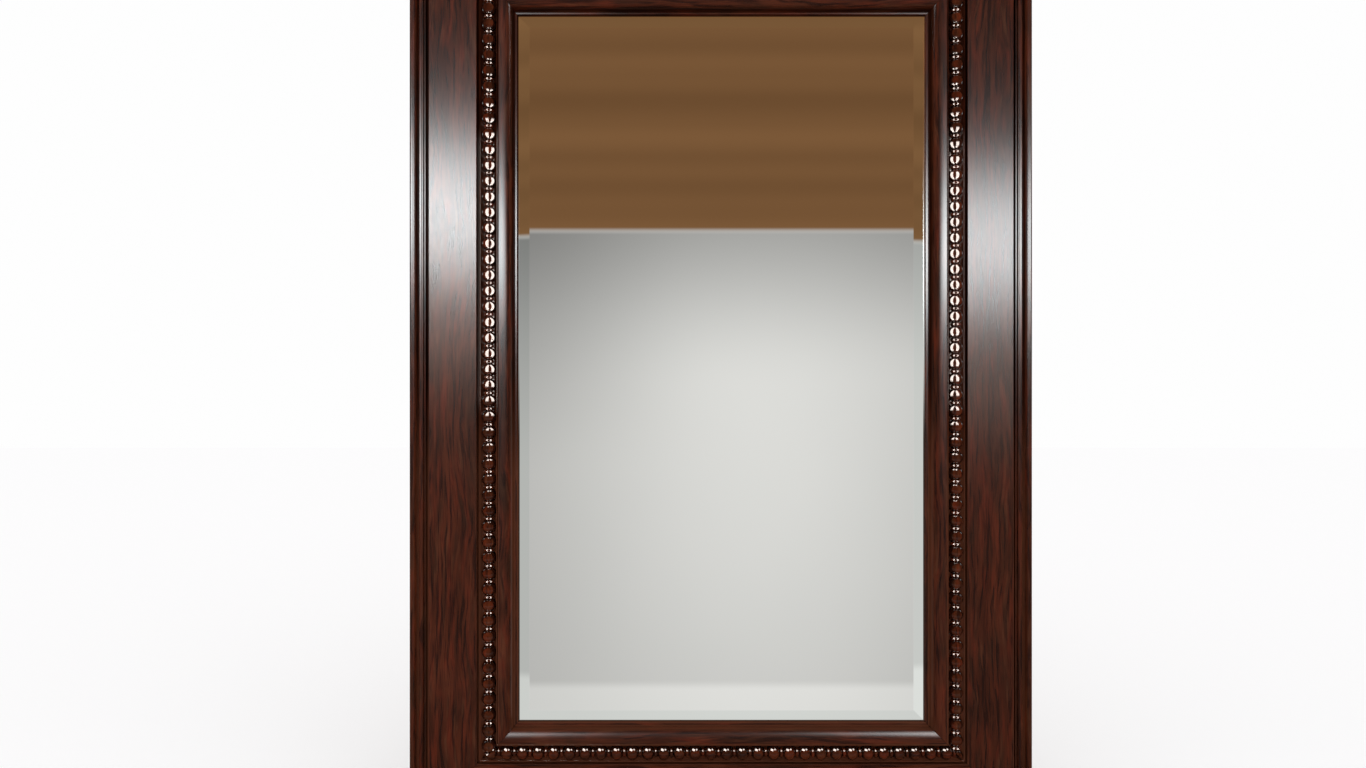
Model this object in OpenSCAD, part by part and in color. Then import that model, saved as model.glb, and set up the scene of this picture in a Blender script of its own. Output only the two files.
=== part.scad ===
// Wall mirror: a mitred frame of stacked mouldings round a bevelled glass, with its back and its hangers.
// Sizes are in millimetres. X runs across, Z runs up, and the front faces -Y.
// The wall is the plane Y = 0, and the origin is the middle of the back.
// A section is drawn as (u, v): u runs inwards from the outer edge of the frame, v forwards from the wall.

/* [Frame] */
// Width over the outer edges
frame_w = 735; // [620:5:900]
// Height over the outer edges
frame_h = 1085; // [900:5:1300]

/* [Edge band] */
// Width of the band, from the outer edge to the board
band_w = 22.9; // [22.5:0.1:26]
// Depth of the outer edge, from the wall to its front corner
edge_h = 20; // [18.5:0.5:21.5]
// Radius of the front corner of the outer edge
edge_round = 3; // [1:0.5:5]
// Width of the rim, from the outer edge to the slope behind it
rim_w = 6.2; // [5.6:0.1:7]
// Radius of the rim's inner corner
rim_round = 2; // [1:0.1:2.4]
// Height of the slope's foot, where the round begins
quirk_h = 14; // [13:0.1:15]
// Distance of the round's middle from the outer edge
round_u = 11.5; // [11:0.1:12.5]
// Radius of the round
round_r = 3.2; // [2.8:0.1:3.6]
// Height of the round's top
round_h = 17.4; // [16.8:0.1:18.4]
// Height of the hollow between the round and the fillet
hollow_h = 13.4; // [12.8:0.1:14]
// Distance of the groove from the outer edge
groove_u = 18.2; // [17.6:0.1:20]
// Width of the fillet beside the groove
fillet_w = 1.5; // [1:0.1:2]
// Height of the fillet beside the groove
fillet_h = 14.6; // [14.2:0.1:16]
// Height of the groove's floor beside the board
groove_h = 11; // [9:0.1:13]

/* [Board] */
// Width of the sloping flat, from the band to the step
flat_w = 59.1; // [48:0.5:80]
// Height of the flat beside the band
flat_low_h = 22; // [20:0.2:25]
// Height of the flat at the step
flat_high_h = 32.5; // [30:0.2:38]
// Radius of the edge beside the band
arris_r = 1.6; // [1:0.1:3]
// Radius of the edge at the step
step_r = 0.8; // [0.4:0.1:2]

/* [Bead course] */
// Width of the strip that carries the beads
strip_w = 25; // [24.8:0.1:29]
// Thickness of the strip under the beads
strip_t = 6; // [5:0.1:7.5]
// Thickness of the strip at its outer fillet
outer_fillet_t = 8.3; // [7.8:0.1:10]
// Width of the quirk between the step and the outer fillet
outer_quirk_w = 3.1; // [2:0.1:3.4]
// Thickness of the strip under that quirk
outer_quirk_t = 2.4; // [2:0.1:4]
// Thickness of the strip at its inner fillet
inner_fillet_t = 12.5; // [10:0.1:14]
// Radius of both fillets
strip_fillet_r = 0.9; // [0.5:0.1:1.2]
// Height of the inner fillet's straight side
inner_side_h = 1.8; // [0.5:0.1:2]
// Width of the slanted sides of the channel at its floor
channel_slant = 3.2; // [2:0.1:4]
// Radius of a bead
bead_r = 8; // [6.5:0.1:8.2]
// Spacing of the beads
bead_pitch = 18.2; // [17:0.1:24]
// Distance of the beads' line from the strip's outer edge
bead_offset = 14.5; // [14:0.1:14.9]
// Rise of the beads' line above the strip's seat
bead_rise = 9; // [8.4:0.1:10]
// Radius of the reel between two beads
reel_r = 4.7; // [4.2:0.1:5.2]

/* [Sight moulding] */
// Width of the moulding, from the strip to the sight edge
sight_w = 22.6; // [21.6:0.2:26]
// Width of the quirk between the strip and the moulding
quirk_w = 0.8; // [0.3:0.1:1.2]
// Depth of that quirk below the strip's inner fillet
quirk_d = 2; // [1:0.1:3]
// Radius of the large round
quarter_r = 14; // [11:0.2:15]
// Distance of the large round's middle from its outer side
quarter_back = 2.4; // [1.5:0.1:3]
// Rise of the large round's middle above the seat
quarter_rise = 2; // [1:0.1:4]
// Thickness of the lip that holds the glass
lip_t = 2.8; // [2.2:0.1:4]
// Radius of the crest at the large round's outer side
crest_r = 1; // [0.5:0.1:1.5]
// Radius of the lip's nose
nose_r = 1.2; // [0.6:0.1:1.6]

/* [Glass] */
// Thickness of the glass
glass_t = 5; // [4:0.5:6]
// Width of the ground bevel
bevel_w = 19; // [12:0.5:32]
// Loss of thickness at the glass's edge
bevel_drop = 2; // [1:0.1:3]
// Overlap of the lip on the glass
glass_lap = 6; // [4:0.2:8]
// Room round the glass in its rebate
glass_room = 1; // [0.5:0.1:2]
// Room between the lip and the glass
lip_room = 0.3; // [0.1:0.1:0.5]

/* [Back] */
// Thickness of the backing sheet behind the glass
sheet_t = 3; // [2:0.5:5]
// Thickness of the glass stops
stop_t = 13; // [10:0.5:16]
// Width of the glass stops
stop_w = 12; // [8:0.5:20]
// Room round the glass stops
stop_room = 0.2; // [0.1:0.1:0.5]
// Thickness of the back panel
panel_t = 5; // [4:0.5:6]
// Width of the ledge that the back panel is screwed to
ledge_w = 12; // [11:0.5:14]
// Room round the back panel
panel_room = 0.5; // [0.2:0.1:1]

/* [Screws] */
// Radius of the panel screws
panel_screw_r = 1.75; // [1.5:0.05:2]
// Length of the panel screws
panel_screw_l = 16; // [12:1:18]
// Greatest spacing of the panel screws
panel_screw_pitch = 190; // [120:10:250]
// Distance from the panel's corner to the first screw
panel_screw_end = 75; // [40:5:100]
// Radius of the corner plate screws
plate_screw_r = 1.75; // [1.5:0.05:2]
// Length of the corner plate screws
plate_screw_l = 16; // [12:1:18]
// Radius of the hanger screws
strap_screw_r = 2; // [1.75:0.05:2.2]
// Length of the hanger screws
strap_screw_l = 18; // [14:1:19]
// Radial room round a screw in its hole
screw_room = 0.05; // [0.03:0.01:0.1]

/* [Corner plates] */
// Distance of the plates from the outer edges
plate_u = 42; // [30:1:50]
// Length of each leg
plate_leg = 75; // [60:1:90]
// Width of each leg
plate_w = 16; // [14:0.5:20]
// Thickness of the plates
plate_t = 1.5; // [1:0.1:2.5]
// Room round a plate in its recess
plate_room = 0.3; // [0.1:0.1:0.5]
// Distance of the near hole from the plate's corner
plate_hole_near = 32; // [28:1:36]
// Spacing of the two holes in a leg
plate_hole_gap = 28; // [20:1:32]

/* [Hangers] */
// Distance of the hangers from the outer edges
hanger_u = 66; // [60:1:70]
// Distance of the ring's hinge from the top edge
hanger_drop = 250; // [200:5:330]
// Depth of the pocket that a hanger sits in
pocket_d = 10; // [9:0.5:12]
// Room round the hanger in its pocket
pocket_room = 2.5; // [1:0.5:4]
// Radius of the pocket's corners
pocket_r = 4; // [2:0.5:6]
// Depth of the slot for the wall hook
hook_d = 16; // [14:0.5:18]
// Width of the slot for the wall hook
hook_w = 16; // [12:0.5:18]
// Thickness of the strap's metal
strap_t = 1.2; // [1:0.1:1.5]
// Width of the strap
strap_w = 16; // [14:0.5:20]
// Length of the strap, from the hinge to its end
strap_l = 48; // [44:1:60]
// Distance of the near hole from the hinge
strap_hole_near = 14; // [13:0.5:17]
// Spacing of the strap's holes
strap_hole_gap = 20; // [15:0.5:22]
// Radius of the ring's wire
wire_r = 1.8; // [1.5:0.05:2]
// Radial room of the wire in the strap's eye
wire_room = 0.05; // [0.03:0.01:0.1]
// Room between the strap's side and the ring's bend
ring_side_room = 1; // [0.5:0.1:2]
// Radius of the ring's two bends
ring_bend_r = 4; // [3:0.5:6]
// Length of the ring's straight arms
ring_arm = 2; // [0.5:0.5:5]
// Lean of the ring towards the wood when it hangs
ring_lean = 3; // [1:0.5:4]

/* [Hidden] */
$fn = 48;

wood = "#3f1d14";
board_stuff = "#8a6a48";
card = "#b08d5f";
steel = "#b4b6b8";

// Extra length of a tool that cuts right through
over = 1;
// Turn from one point to the next along an arc
arc_step = 7.5;
// Rise of the slope's face behind the rim, from level
rim_turn = 26;

// Places across the section, from the outer edge inwards
step_u = band_w + flat_w;
strip_end_u = step_u + strip_w;
sight_u = strip_end_u + sight_w;
pane_u = sight_u - glass_lap;
rebate_u = pane_u - glass_room;
ledge_u = rebate_u - ledge_w;
bead_u = step_u + bead_offset;

// Heights in the section, from the wall forwards
sheet_v = panel_t + stop_t;
glass_v = sheet_v + sheet_t;
bevel_at_sight = bevel_drop * (1 - glass_lap / bevel_w);
seat_v = glass_v + glass_t - bevel_at_sight + lip_room;

// The flat's slope, and the rounds that end it
flat_slope = atan((flat_high_h - flat_low_h) / flat_w);
arris_v = flat_low_h + arris_r * tan(flat_slope) - arris_r / cos(flat_slope);
step_v = flat_high_h - step_r * tan(flat_slope) - step_r / cos(flat_slope);

// The height that no section passes
clear_v = max(flat_high_h, seat_v + bead_rise + bead_r, seat_v + quarter_rise + quarter_r) + over;

// The glass and the panel
pane_w = frame_w - 2 * pane_u;
pane_h = frame_h - 2 * pane_u;
rebate_w = frame_w - 2 * rebate_u;
rebate_h = frame_h - 2 * rebate_u;
panel_w = frame_w - 2 * (ledge_u + panel_room);
panel_h = frame_h - 2 * (ledge_u + panel_room);

// The screws: a countersunk head is twice as wide as the shank, and its cone is at 45 degrees
function head_r(screw_r) = 2 * screw_r;
panel_screw_u = (ledge_u + rebate_u) / 2;

// The hangers
eye_r = wire_r + wire_room;
eye_outer_r = eye_r + strap_t;
bar_half = strap_w / 2 + ring_side_room;
ring_half = bar_half + ring_bend_r;
ring_top = ring_bend_r + ring_arm + ring_half;
hinge_x = frame_w / 2 - hanger_u;
hinge_y = eye_outer_r - pocket_d;
hinge_z = frame_h / 2 - hanger_drop;

// Distances from the middle, evenly spread over a length with a gap at both ends
function spread(length, end_gap, max_pitch) =
    let (run = length - 2 * end_gap, n = ceil(run / max_pitch))
    [for (i = [0 : n]) i * run / n - run / 2];

// Points along an arc about a middle, both ends included
function arc(middle, r, from, to) =
    let (n = ceil(abs(to - from) / arc_step))
    [for (i = [0 : n]) let (a = from + (to - from) * i / n) middle + r * [cos(a), sin(a)]];

// A round-cornered rectangle about the middle
module round_rect(w, h, r) {
    square([w - 2 * r, h], center = true);
    square([w, h - 2 * r], center = true);
    for (x = [r - w / 2, w / 2 - r], y = [r - h / 2, h / 2 - r])
        translate([x, y]) circle(r);
}

// A flat shape in the plane of the wall, given thickness towards the front
module slab(from_v, thickness) {
    translate([0, -from_v, 0])
        rotate([90, 0, 0])
            linear_extrude(thickness) children();
}

// The four sides of the frame, from the one on the left
module on_right() { mirror([1, 0, 0]) children(); }
module on_top() { rotate([0, 90, 0]) children(); }
module on_bottom() { mirror([0, 0, 1]) children(); }

// A section run up the left side and mitred at both ends
module mitred_side(length, half_span) {
    reach = sight_u + over;
    intersection() {
        translate([-half_span, 0, 0])
            linear_extrude(length, center = true)
                mirror([0, 1]) children();
        translate([-half_span, 0, 0])
            slab(-over, clear_v + over)
                polygon([
                    [0, -length / 2], [0, length / 2],
                    [reach, length / 2 - reach], [reach, reach - length / 2]
                ]);
    }
}

// The edge band's section: a rounded rim, a slope, a round, a hollow, a fillet and a groove
module band_section() {
    round_v = round_h - round_r;
    fillet_u = groove_u - fillet_w;
    polygon(concat(
        [[0, 0]],
        arc([edge_round, edge_h - edge_round], edge_round, 180, 90),
        arc([rim_w - rim_round, edge_h - rim_round], rim_round, 90, rim_turn),
        arc([round_u, round_v], round_r,
            180 - asin((quirk_h - round_v) / round_r), asin((hollow_h - round_v) / round_r)),
        [[fillet_u, hollow_h], [fillet_u, fillet_h], [groove_u, fillet_h]],
        [[groove_u, groove_h], [band_w, groove_h], [band_w, 0]]
    ));
}

// The board's section: the sloping flat, the step, the mouldings' seat and the panel's ledge
module board_section() {
    polygon(concat(
        [[band_w, 0]],
        arc([band_w + arris_r, arris_v], arris_r, 180, 90 + flat_slope),
        arc([step_u - step_r, step_v], step_r, 90 + flat_slope, 0),
        [[step_u, seat_v], [rebate_u, seat_v], [rebate_u, panel_t], [ledge_u, panel_t], [ledge_u, 0]]
    ));
}

// The strip's section: a channel with slanted sides between two fillets
module strip_section() {
    r = strip_fillet_r;
    outer = step_u + outer_quirk_w + r;
    inner = strip_end_u - r;
    translate([0, seat_v])
        polygon(concat(
            [[step_u, 0], [step_u, outer_quirk_t], [outer - r, outer_quirk_t]],
            arc([outer, outer_fillet_t - r], r, 180, 0),
            [[outer + r + channel_slant, strip_t], [inner - r - channel_slant, strip_t]],
            [[inner - r, inner_fillet_t - r - inner_side_h]],
            arc([inner, inner_fillet_t - r], r, 180, 0),
            [[strip_end_u, 0]]
        ));
}

// The sight moulding's section: a quirk, a crest, the large round and the lip over the glass
module sight_section() {
    wall = strip_end_u + quirk_w;
    middle = [wall + quarter_back, quarter_rise];
    crest_rise = sqrt(pow(quarter_r - crest_r, 2) - pow(quarter_back - crest_r, 2));
    crest = [wall + crest_r, quarter_rise + crest_rise];
    turn = atan2(crest[1] - middle[1], crest[0] - middle[0]);
    translate([0, seat_v])
        polygon(concat(
            [[strip_end_u, 0], [strip_end_u, inner_fillet_t - quirk_d], [wall, inner_fillet_t - quirk_d]],
            arc(crest, crest_r, 180, turn),
            arc(middle, quarter_r, turn, asin((lip_t - quarter_rise) / quarter_r)),
            arc([sight_u - nose_r, lip_t - nose_r], nose_r, 90, 0),
            [[sight_u, 0]]
        ));
}

// A countersunk screw with a cross slot, its head at the origin and its point along +Z
module screw(screw_r, length) {
    head = head_r(screw_r);
    tip = screw_r / 4;
    slot_w = screw_r / 2;
    slot_d = screw_r / 2;
    difference() {
        union() {
            cylinder(h = head - screw_r, r1 = head, r2 = screw_r);
            cylinder(h = length - screw_r, r = screw_r);
            translate([0, 0, length - screw_r])
                cylinder(h = screw_r, r1 = screw_r, r2 = tip);
        }
        for (turn = [0, 90])
            rotate([0, 0, turn])
                translate([-screw_r, -slot_w / 2, -over])
                    cube([2 * screw_r, slot_w, over + slot_d]);
    }
}

// The hole for such a screw, with its countersink
module screw_hole(screw_r, length) {
    r = screw_r + screw_room;
    head = head_r(screw_r) + screw_room;
    cylinder(h = head - r, r1 = head, r2 = r);
    translate([0, 0, -over]) cylinder(h = over, r = head);
    cylinder(h = length + screw_room, r = r);
}

// Puts a screw that enters from the back at a place on the wall side
module from_back(x, v, z) {
    translate([x, -v, z]) rotate([90, 0, 0]) children();
}

// The back panel's screws along the left side and along the top
module panel_left_places() {
    for (z = spread(panel_h, panel_screw_end, panel_screw_pitch))
        from_back(panel_screw_u - frame_w / 2, 0, z) children();
}
module panel_top_places() {
    for (x = spread(panel_w, panel_screw_end, panel_screw_pitch))
        from_back(x, 0, frame_h / 2 - panel_screw_u) children();
}

// The top left corner plate: a flat L over the mitre, flush in the wood
module plate_outline(room) {
    for (turn = [0, 1])
        rotate(turn * -90)
            mirror([0, turn]) {
                translate([-room, -plate_w - room])
                    square([plate_leg - plate_w / 2 + room, plate_w + 2 * room]);
                translate([plate_leg - plate_w / 2, -plate_w / 2]) circle(plate_w / 2 + room);
            }
}
module at_plate() {
    translate([plate_u - frame_w / 2, 0, frame_h / 2 - plate_u]) children();
}
module plate_places() {
    for (d = [plate_hole_near, plate_hole_near + plate_hole_gap]) {
        at_plate() from_back(d, 0, -plate_w / 2) children();
        at_plate() from_back(plate_w / 2, 0, -d) children();
    }
}
module corner_plate() {
    color(steel)
        difference() {
            at_plate() slab(0, plate_t) plate_outline(0);
            plate_places() screw_hole(plate_screw_r, plate_screw_l);
        }
}
module plate_cut() {
    at_plate() slab(-over, plate_t + over) plate_outline(plate_room);
    plate_places() screw_hole(plate_screw_r, plate_screw_l);
}

// The left hanger: the strap folded round the ring, its screws and the ring
module at_hinge() {
    translate([-hinge_x, hinge_y, hinge_z]) children();
}
module strap_places() {
    for (d = [strap_hole_near, strap_hole_near + strap_hole_gap])
        at_hinge() from_back(0, eye_outer_r - 2 * strap_t, -d) children();
}
module left_strap() {
    color(steel)
        difference() {
            union() {
                at_hinge() rotate([0, 90, 0]) cylinder(h = strap_w, r = eye_outer_r, center = true);
                at_hinge()
                    slab(eye_outer_r - 2 * strap_t, 2 * strap_t) {
                        translate([-strap_w / 2, strap_w / 2 - strap_l])
                            square([strap_w, strap_l - strap_w / 2]);
                        translate([0, strap_w / 2 - strap_l]) circle(strap_w / 2);
                    }
            }
            at_hinge() rotate([0, 90, 0]) cylinder(h = strap_w + 2 * over, r = eye_r, center = true);
            strap_places() screw_hole(strap_screw_r, strap_screw_l);
        }
}
module left_ring() {
    color(steel)
        at_hinge()
            rotate([ring_lean, 0, 0]) {
                rotate([0, 90, 0]) cylinder(h = 2 * bar_half, r = wire_r, center = true);
                for (side = [-1, 1])
                    translate([side * ring_half, 0, ring_bend_r]) cylinder(h = ring_arm, r = wire_r);
                translate([bar_half, 0, ring_bend_r]) wire_bend(ring_bend_r, -90, 90);
                translate([-bar_half, 0, ring_bend_r]) wire_bend(ring_bend_r, 180, 90);
                translate([0, 0, ring_bend_r + ring_arm]) wire_bend(ring_half, 0, 180);
            }
}
module wire_bend(bend_r, from, sweep) {
    rotate([90, 0, 0])
        rotate([0, 0, from])
            rotate_extrude(angle = sweep, $fn = 72)
                translate([bend_r, 0]) circle(wire_r, $fn = 32);
}

// The pocket for the left hanger, with the deeper slot behind the ring for the wall hook
module pocket_cut() {
    room_w = 2 * (ring_half + wire_r + pocket_room);
    top = ring_top + wire_r + pocket_room;
    low = -strap_l - pocket_room;
    slot_low = ring_bend_r;
    translate([-hinge_x, 0, hinge_z + (top + low) / 2])
        slab(-over, pocket_d + over) round_rect(room_w, top - low, pocket_r);
    translate([-hinge_x, 0, hinge_z + (top + slot_low) / 2])
        slab(-over, hook_d + over) round_rect(hook_w, top - slot_low, pocket_r);
    strap_places() screw_hole(strap_screw_r, strap_screw_l);
}

// The sides of the frame
module stile() {
    color(wood)
        difference() {
            mitred_side(frame_h, frame_w / 2) board_section();
            plate_cut();
            on_bottom() plate_cut();
            panel_left_places() screw_hole(panel_screw_r, panel_screw_l);
            pocket_cut();
        }
}
module rail() {
    color(wood)
        difference() {
            on_top() mitred_side(frame_w, frame_h / 2) board_section();
            plate_cut();
            on_right() plate_cut();
            panel_top_places() screw_hole(panel_screw_r, panel_screw_l);
        }
}
module edge_band(length, half_span) {
    color(wood) mitred_side(length, half_span) band_section();
}
module sight_moulding(length, half_span) {
    color(wood) mitred_side(length, half_span) sight_section();
}

// A bead strip: the channel, with beads and reels by turns along its line
module bead_strip(length, half_span, first) {
    line = length - 2 * bead_u;
    steps = ceil(line / bead_pitch);
    color(wood)
        mitred_side(length, half_span) strip_section();
    color(wood)
        intersection() {
            translate([bead_u - half_span, -seat_v - bead_rise, 0])
                for (i = [-steps : steps])
                    if (abs(i) * bead_pitch < line + 2 * bead_r)
                        translate([0, 0, i * bead_pitch / 2])
                            sphere((i + first) % 2 == 0 ? bead_r : reel_r);
            mitred_side(length, half_span)
                translate([step_u, seat_v]) square([strip_w, bead_rise + bead_r]);
        }
}

// The glass: a pane whose front edge is ground to a bevel on all four sides
module mirror_glass() {
    cut_l = max(pane_w, pane_h) + 2 * over;
    color("lightblue")
        difference() {
            slab(glass_v, glass_t) square([pane_w, pane_h], center = true);
            for (side = [[0, pane_w], [90, pane_h], [180, pane_w], [270, pane_h]])
                rotate([0, side[0], 0])
                    translate([-side[1] / 2, -glass_v - glass_t, 0])
                        linear_extrude(cut_l, center = true)
                            polygon([
                                [-bevel_w, bevel_drop * 2], [bevel_w, 0],
                                [bevel_w, -bevel_drop], [-bevel_w, -bevel_drop]
                            ]);
        }
}

// What lies behind the glass
module backing_sheet() {
    color(card) slab(sheet_v, sheet_t) square([pane_w, pane_h], center = true);
}
module left_stop() {
    color(board_stuff)
        slab(panel_t, stop_t)
            translate([stop_room - rebate_w / 2, stop_room - rebate_h / 2])
                square([stop_w, rebate_h - 2 * stop_room]);
}
module top_stop() {
    inset = 2 * stop_room + stop_w;
    color(board_stuff)
        slab(panel_t, stop_t)
            translate([inset - rebate_w / 2, rebate_h / 2 - stop_room - stop_w])
                square([rebate_w - 2 * inset, stop_w]);
}
module back_panel() {
    color(board_stuff)
        difference() {
            slab(0, panel_t) square([panel_w, panel_h], center = true);
            panel_left_places() screw_hole(panel_screw_r, panel_screw_l);
            on_right() panel_left_places() screw_hole(panel_screw_r, panel_screw_l);
            panel_top_places() screw_hole(panel_screw_r, panel_screw_l);
            on_bottom() panel_top_places() screw_hole(panel_screw_r, panel_screw_l);
        }
}

// The screws, each kind as one group
module back_panel_screws() {
    color(steel) {
        panel_left_places() screw(panel_screw_r, panel_screw_l);
        on_right() panel_left_places() screw(panel_screw_r, panel_screw_l);
        panel_top_places() screw(panel_screw_r, panel_screw_l);
        on_bottom() panel_top_places() screw(panel_screw_r, panel_screw_l);
    }
}
module corner_plate_screws() {
    color(steel) {
        plate_places() screw(plate_screw_r, plate_screw_l);
        on_right() plate_places() screw(plate_screw_r, plate_screw_l);
        on_bottom() {
            plate_places() screw(plate_screw_r, plate_screw_l);
            on_right() plate_places() screw(plate_screw_r, plate_screw_l);
        }
    }
}
module hanger_screws() {
    color(steel) {
        strap_places() screw(strap_screw_r, strap_screw_l);
        on_right() strap_places() screw(strap_screw_r, strap_screw_l);
    }
}

stile();  // left_stile
on_right() stile();  // right_stile
rail();  // top_rail
on_bottom() rail();  // bottom_rail
edge_band(frame_h, frame_w / 2);  // left_edge_band
on_right() edge_band(frame_h, frame_w / 2);  // right_edge_band
on_top() edge_band(frame_w, frame_h / 2);  // top_edge_band
on_bottom() on_top() edge_band(frame_w, frame_h / 2);  // bottom_edge_band
bead_strip(frame_h, frame_w / 2, 0);  // left_bead_strip
on_right() bead_strip(frame_h, frame_w / 2, 0);  // right_bead_strip
on_top() bead_strip(frame_w, frame_h / 2, 1);  // top_bead_strip
on_bottom() on_top() bead_strip(frame_w, frame_h / 2, 1);  // bottom_bead_strip
sight_moulding(frame_h, frame_w / 2);  // left_sight_moulding
on_right() sight_moulding(frame_h, frame_w / 2);  // right_sight_moulding
on_top() sight_moulding(frame_w, frame_h / 2);  // top_sight_moulding
on_bottom() on_top() sight_moulding(frame_w, frame_h / 2);  // bottom_sight_moulding
mirror_glass();
backing_sheet();
left_stop();  // left_glass_stop
on_right() left_stop();  // right_glass_stop
top_stop();  // top_glass_stop
on_bottom() top_stop();  // bottom_glass_stop
back_panel();
back_panel_screws();
corner_plate();  // top_left_corner_plate
on_right() corner_plate();  // top_right_corner_plate
on_bottom() corner_plate();  // bottom_left_corner_plate
on_bottom() on_right() corner_plate();  // bottom_right_corner_plate
corner_plate_screws();
left_strap();  // left_hanger_strap
on_right() left_strap();  // right_hanger_strap
hanger_screws();
left_ring();  // left_hanger_ring
on_right() left_ring();  // right_hanger_ring
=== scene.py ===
# The wall mirror's looks: fine mouldings and beads, lacquered mahogany, bevelled glass and plated fittings.
# X runs across, Z up, and the front faces -Y. Lengths are in millimetres, and the studio's in metres.
# A section is drawn as (u, v): u runs inwards from the outer edge of the frame, v forwards from the wall.
import math

import bmesh
import bpy
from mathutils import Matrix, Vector


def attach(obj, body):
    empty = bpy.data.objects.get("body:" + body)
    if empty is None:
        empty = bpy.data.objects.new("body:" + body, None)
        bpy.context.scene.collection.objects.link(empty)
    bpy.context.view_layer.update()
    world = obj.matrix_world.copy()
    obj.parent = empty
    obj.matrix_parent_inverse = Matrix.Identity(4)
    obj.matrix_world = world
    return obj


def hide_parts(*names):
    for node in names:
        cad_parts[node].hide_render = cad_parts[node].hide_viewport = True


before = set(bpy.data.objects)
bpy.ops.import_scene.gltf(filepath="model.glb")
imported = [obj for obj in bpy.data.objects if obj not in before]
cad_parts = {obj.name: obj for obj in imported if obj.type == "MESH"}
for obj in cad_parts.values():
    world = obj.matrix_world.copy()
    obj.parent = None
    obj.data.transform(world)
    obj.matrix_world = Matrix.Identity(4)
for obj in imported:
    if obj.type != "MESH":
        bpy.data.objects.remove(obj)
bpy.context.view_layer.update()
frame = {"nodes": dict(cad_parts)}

# One millimetre in Blender's metres
mm = 0.001

# The frame's sizes, as in the part's source
frame_w = 735.0
frame_h = 1085.0
sides = ("left", "right", "top", "bottom")
upright_sides = ("left", "right")

# Edge band
band_w = 22.9
edge_h = 20.0
edge_round = 3.0
rim_w = 6.2
rim_round = 2.0
rim_turn = 26.0
quirk_h = 14.0
round_u = 11.5
round_r = 3.2
round_h = 17.4
hollow_h = 13.4
groove_u = 18.2
fillet_w = 1.5
fillet_h = 14.6
groove_h = 11.0

# Finer shape of the edge band's round: a flattened crown
crown_u = 13.2
crown_half = 2.8
crown_flatness = 0.72

# Board
flat_w = 59.1
flat_low_h = 22.0

# Bead course
strip_w = 25.0
strip_t = 6.0
outer_fillet_t = 8.3
outer_quirk_w = 3.1
outer_quirk_t = 2.4
inner_fillet_t = 12.5
inner_side_h = 1.8
strip_fillet_r = 0.9
channel_slant = 3.2
bead_offset = 14.5
bead_rise = 9.0
bead_pitch = 18.2
bead_half_long = 7.7
bead_half_wide = 8.35
bead_half_tall = 8.0
neck_r = 3.0
reel_r = 5.9
reel_half_long = 2.1

# The place of one bead along each side, upwards or to the right from the side's middle
first_beads = {"left": -1.1, "right": 5.8, "top": bead_pitch / 2, "bottom": 4.7}

# Sight moulding
sight_w = 22.6
quirk_w = 0.8
quirk_d = 2.0
quarter_r = 14.0
quarter_back = 2.4
quarter_rise = 2.0
lip_t = 2.8
crest_r = 1.0
nose_r = 1.2

# Glass
seat_v = 24.93
bevel_w = 19.0
glass_lap = 6.0
# Width of the painted reflection of the lip in the glass
lip_image_w = 1.3

# Hangers' pockets in the backs of the stiles
pocket_x = 301.5
pocket_z = 277.9
pocket_half_w = 17.2
pocket_half_h = 37.0
pocket_d = 16.2

# Places across the section
fillet_u = groove_u - fillet_w
crown_start_u = crown_u - crown_half
crown_end_u = crown_u + crown_half
step_u = band_w + flat_w
strip_end_u = step_u + strip_w
sight_u = strip_end_u + sight_w
lip_u = strip_end_u + quirk_w + quarter_back + quarter_r
bead_u = step_u + bead_offset
bead_v = seat_v + bead_rise

# How far one side's figure in the wood lies from the next side's, and each moulding's from its board's
figure_shift = 900.0
edge_shift = 210.0
bead_shift = 430.0
reel_shift = 520.0
inner_shift = 650.0
cross_shift = 0.37

# Roughness of the lacquer, which is finer on the turned forms, and the share of it on the outer faces
board_coat = 0.22
bead_coat = 0.09
reel_coat = 0.1
outer_face_lacquer = 0.1

# Shares of the darker tones: the right board's darker colour, the painted shade in the grooves and channels
# and round the beads, the lacquer taken off under that painted shade, the mitres, and raw wood on the back
right_board_darkening = 0.14
painted_shade_share = 0.7
channel_shade_share = 0.8
bead_ring_shade_share = 0.75
shade_dulling = 0.98
mitre_share = 0.6
raw_back_share = 0.12

# Stretches over which a finish fades in or out: two up the mirror, for the painted shade in the grooves and
# for the painted reflection of the lip, then those on the section
shade_z = (-150, 0)
lip_image_z = (-90, 30)
shade_v = (6.0, 9.0)
rim_line_u = (0.7, 1.5)
outer_face_u = (0.02, 0.3)
back_v = (0.2, 0.6)
mitre_line = (0.15, 0.7)

# The same round a bead, as shares of its size, and from its axis to the channel's floor, where shade is
# painted
bead_edge = (1.02, 1.08)
bead_ring_edge = (0.66, 0.76)
channel_edge = (2.6, 3.2)

# Camera, read from the photograph: its point straight ahead of the lens, and the middle of the mirror in it
photo_w = 1366
photo_h = 768
ahead_x = 636
ahead_y = 400
middle_x = 721
middle_y = 369
px_per_mm = 0.8486
scale_plane_v = 20.0
camera_distance = 1000.0
sensor_w = 36.0

# Rows of the photograph where the reflections on the two upright sides are brightest
left_edge_row = 205
left_board_row = 208
left_board_side_row = 200
left_board_low_row = 310
left_inner_row = 245
right_edge_row = 240
right_board_row = 241
right_board_side_row = 245
right_board_low_row = 365
right_inner_row = 246
right_inner_back_row = 230

# Lights of the upright sides: the point that they face, in millimetres, their distance and their height
side_focus_x = 320.0
side_focus_v = 30.0
side_light_distance = 1.0
side_light_h = 0.46
inner_light_h = 0.42

# Shares of a light's width and of its height that fade out at each edge
plain_soft = (0.3, 0.45)
inner_soft = (0.5, 0.45)
rail_inner_soft = (0.45, 0.45)
rail_bead_soft = (0.2, 0.2)
bead_soft = (0.1, 0.08)
reel_soft = (0.15, 0.1)
fittings_soft = (0.2, 0.1)

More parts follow.
